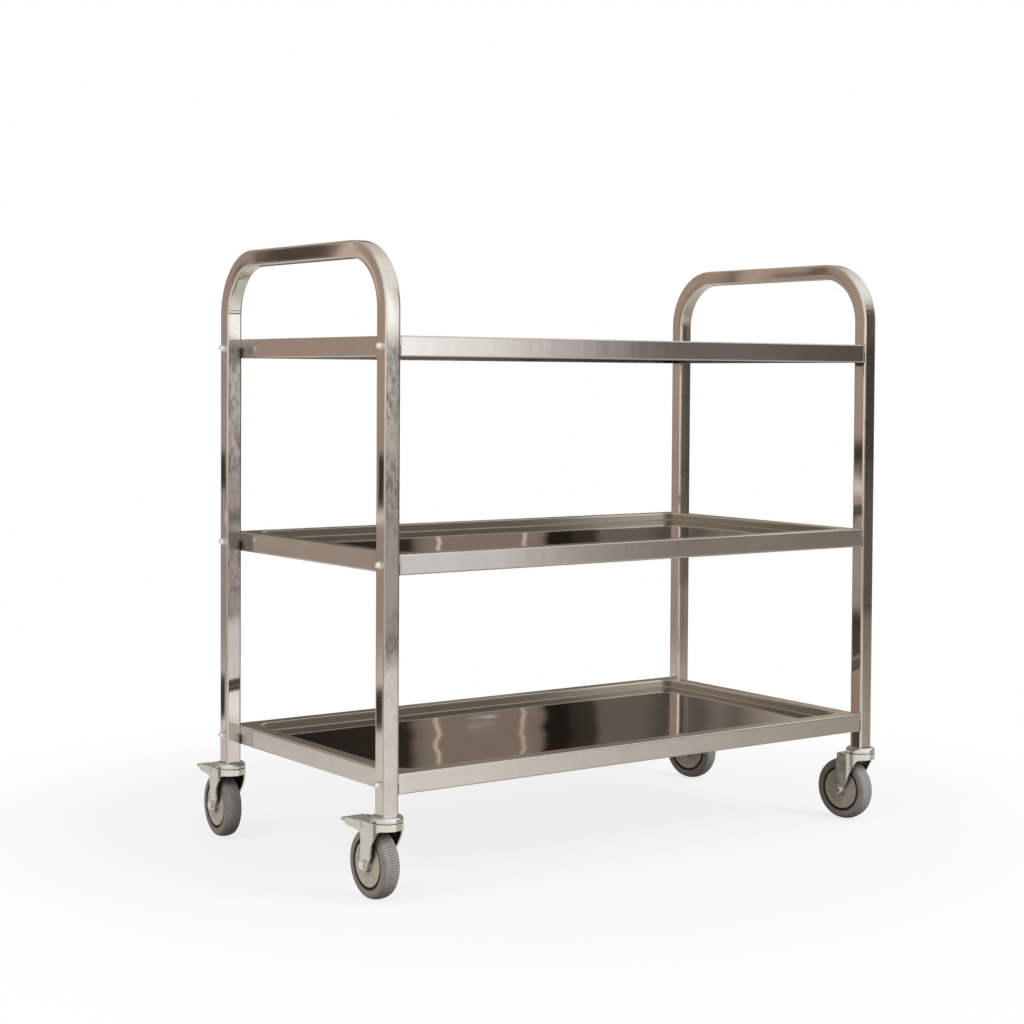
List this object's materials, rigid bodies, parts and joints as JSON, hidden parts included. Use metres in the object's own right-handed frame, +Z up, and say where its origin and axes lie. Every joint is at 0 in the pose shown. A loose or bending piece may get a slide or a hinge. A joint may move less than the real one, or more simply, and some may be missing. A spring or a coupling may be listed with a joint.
{
  "type": "three-tier serving trolley",
  "caption": "Serving trolley with pressed shelf trays between bent square-tube end frames that form push handles, on swivel casters, with foot brakes at one end",
  "frame": {"origin": "centre of the bounding box on the floor, under the trays", "axes": "+X along the length from the braked end frame to the other, +Y from the front long side to the rear, +Z up"},
  "size_m": [0.9934, 0.5906, 0.938],
  "materials": {
    "stainless_tube": "polished",
    "stainless_sheet": "polished",
    "bolt_steel": "satin",
    "socket_plastic": "matte",
    "zinc_steel": "zinc plated",
    "cap_chrome": "chrome",
    "bearing_steel": "ground",
    "fork_zinc": "zinc plated",
    "pedal_steel": "zinc plated",
    "hub_plastic": "matte",
    "pad_rubber": "matte",
    "tyre_rubber": "matte"
  },
  "bodies": {
    "trolley_frame": {"left_end_frame": "stainless_tube", "right_end_frame": "stainless_tube", "top_tray": "stainless_sheet", "top_tray_bolts": "bolt_steel", "top_tray_nuts": "bolt_steel", "middle_tray": "stainless_sheet", "middle_tray_bolts": "bolt_steel", "middle_tray_nuts": "bolt_steel", "bottom_tray": "stainless_sheet", "bottom_tray_bolts": "bolt_steel", "bottom_tray_nuts": "bolt_steel", "front_left_stem_socket": "socket_plastic", "front_left_swivel_stem": "zinc_steel", "front_left_swivel_cap": "cap_chrome", "rear_left_stem_socket": "socket_plastic", "rear_left_swivel_stem": "zinc_steel", "rear_left_swivel_cap": "cap_chrome", "front_right_stem_socket": "socket_plastic", "front_right_swivel_stem": "zinc_steel", "front_right_swivel_cap": "cap_chrome", "rear_right_stem_socket": "socket_plastic", "rear_right_swivel_stem": "zinc_steel", "rear_right_swivel_cap": "cap_chrome"},
    "front_left_swivel": {"front_left_fork": "fork_zinc", "front_left_swivel_balls": "bearing_steel", "front_left_axle_bolt": "zinc_steel", "front_left_axle_nut": "zinc_steel", "front_left_axle_sleeve": "bearing_steel", "front_left_brake_pin": "zinc_steel"},
    "front_left_wheel": {"front_left_wheel_hub": "hub_plastic", "front_left_tyre": "tyre_rubber"},
    "front_left_brake": {"front_left_brake_pedal": "pedal_steel", "front_left_brake_pad": "pad_rubber"},
    "rear_left_swivel": {"rear_left_fork": "fork_zinc", "rear_left_swivel_balls": "bearing_steel", "rear_left_axle_bolt": "zinc_steel", "rear_left_axle_nut": "zinc_steel", "rear_left_axle_sleeve": "bearing_steel", "rear_left_brake_pin": "zinc_steel"},
    "rear_left_wheel": {"rear_left_wheel_hub": "hub_plastic", "rear_left_tyre": "tyre_rubber"},
    "rear_left_brake": {"rear_left_brake_pedal": "pedal_steel", "rear_left_brake_pad": "pad_rubber"},
    "front_right_swivel": {"front_right_fork": "fork_zinc", "front_right_swivel_balls": "bearing_steel", "front_right_axle_bolt": "zinc_steel", "front_right_axle_nut": "zinc_steel", "front_right_axle_sleeve": "bearing_steel"},
    "front_right_wheel": {"front_right_wheel_hub": "hub_plastic", "front_right_tyre": "tyre_rubber"},
    "rear_right_swivel": {"rear_right_fork": "fork_zinc", "rear_right_swivel_balls": "bearing_steel", "rear_right_axle_bolt": "zinc_steel", "rear_right_axle_nut": "zinc_steel", "rear_right_axle_sleeve": "bearing_steel"},
    "rear_right_wheel": {"rear_right_wheel_hub": "hub_plastic", "rear_right_tyre": "tyre_rubber"}
  },
  "joints": [
    {"name": "front_left_swivel_turn", "type": "hinge", "parent": "trolley_frame", "child": "front_left_swivel", "pos_m": [-0.47266, -0.27129, 0.116], "axis": [0, 0, 1], "continuous": true},
    {"name": "front_left_wheel_spin", "type": "hinge", "parent": "front_left_swivel", "child": "front_left_wheel", "pos_m": [-0.47266, -0.23979, 0.051], "axis": [1, 0, 0], "continuous": true},
    {"name": "front_left_brake_press", "type": "hinge", "parent": "front_left_swivel", "child": "front_left_brake", "pos_m": [-0.47266, -0.22979, 0.1058], "axis": [-1, 0, 0], "range_deg": [0, 8]},
    {"name": "rear_left_swivel_turn", "type": "hinge", "parent": "trolley_frame", "child": "rear_left_swivel", "pos_m": [-0.47266, 0.19971, 0.116], "axis": [0, 0, 1], "continuous": true},
    {"name": "rear_left_wheel_spin", "type": "hinge", "parent": "rear_left_swivel", "child": "rear_left_wheel", "pos_m": [-0.47019, 0.23112, 0.051], "axis": [0.9969, -0.0785, 0], "continuous": true},
    {"name": "rear_left_brake_press", "type": "hinge", "parent": "rear_left_swivel", "child": "rear_left_brake", "pos_m": [-0.4694, 0.24109, 0.1058], "axis": [-0.9969, 0.0785, 0], "range_deg": [0, 8]},
    {"name": "front_right_swivel_turn", "type": "hinge", "parent": "trolley_frame", "child": "front_right_swivel", "pos_m": [0.46634, -0.27129, 0.116], "axis": [0, 0, 1], "continuous": true},
    {"name": "front_right_wheel_spin", "type": "hinge", "parent": "front_right_swivel", "child": "front_right_wheel", "pos_m": [0.46305, -0.23996, 0.051], "axis": [0.9945, 0.1045, 0], "continuous": true},
    {"name": "rear_right_swivel_turn", "type": "hinge", "parent": "trolley_frame", "child": "rear_right_swivel", "pos_m": [0.46634, 0.19971, 0.116], "axis": [0, 0, 1], "continuous": true},
    {"name": "rear_right_wheel_spin", "type": "hinge", "parent": "rear_right_swivel", "child": "rear_right_wheel", "pos_m": [0.47235, 0.16879, 0.051], "axis": [-0.9816, -0.1908, 0], "continuous": true}
  ]
}
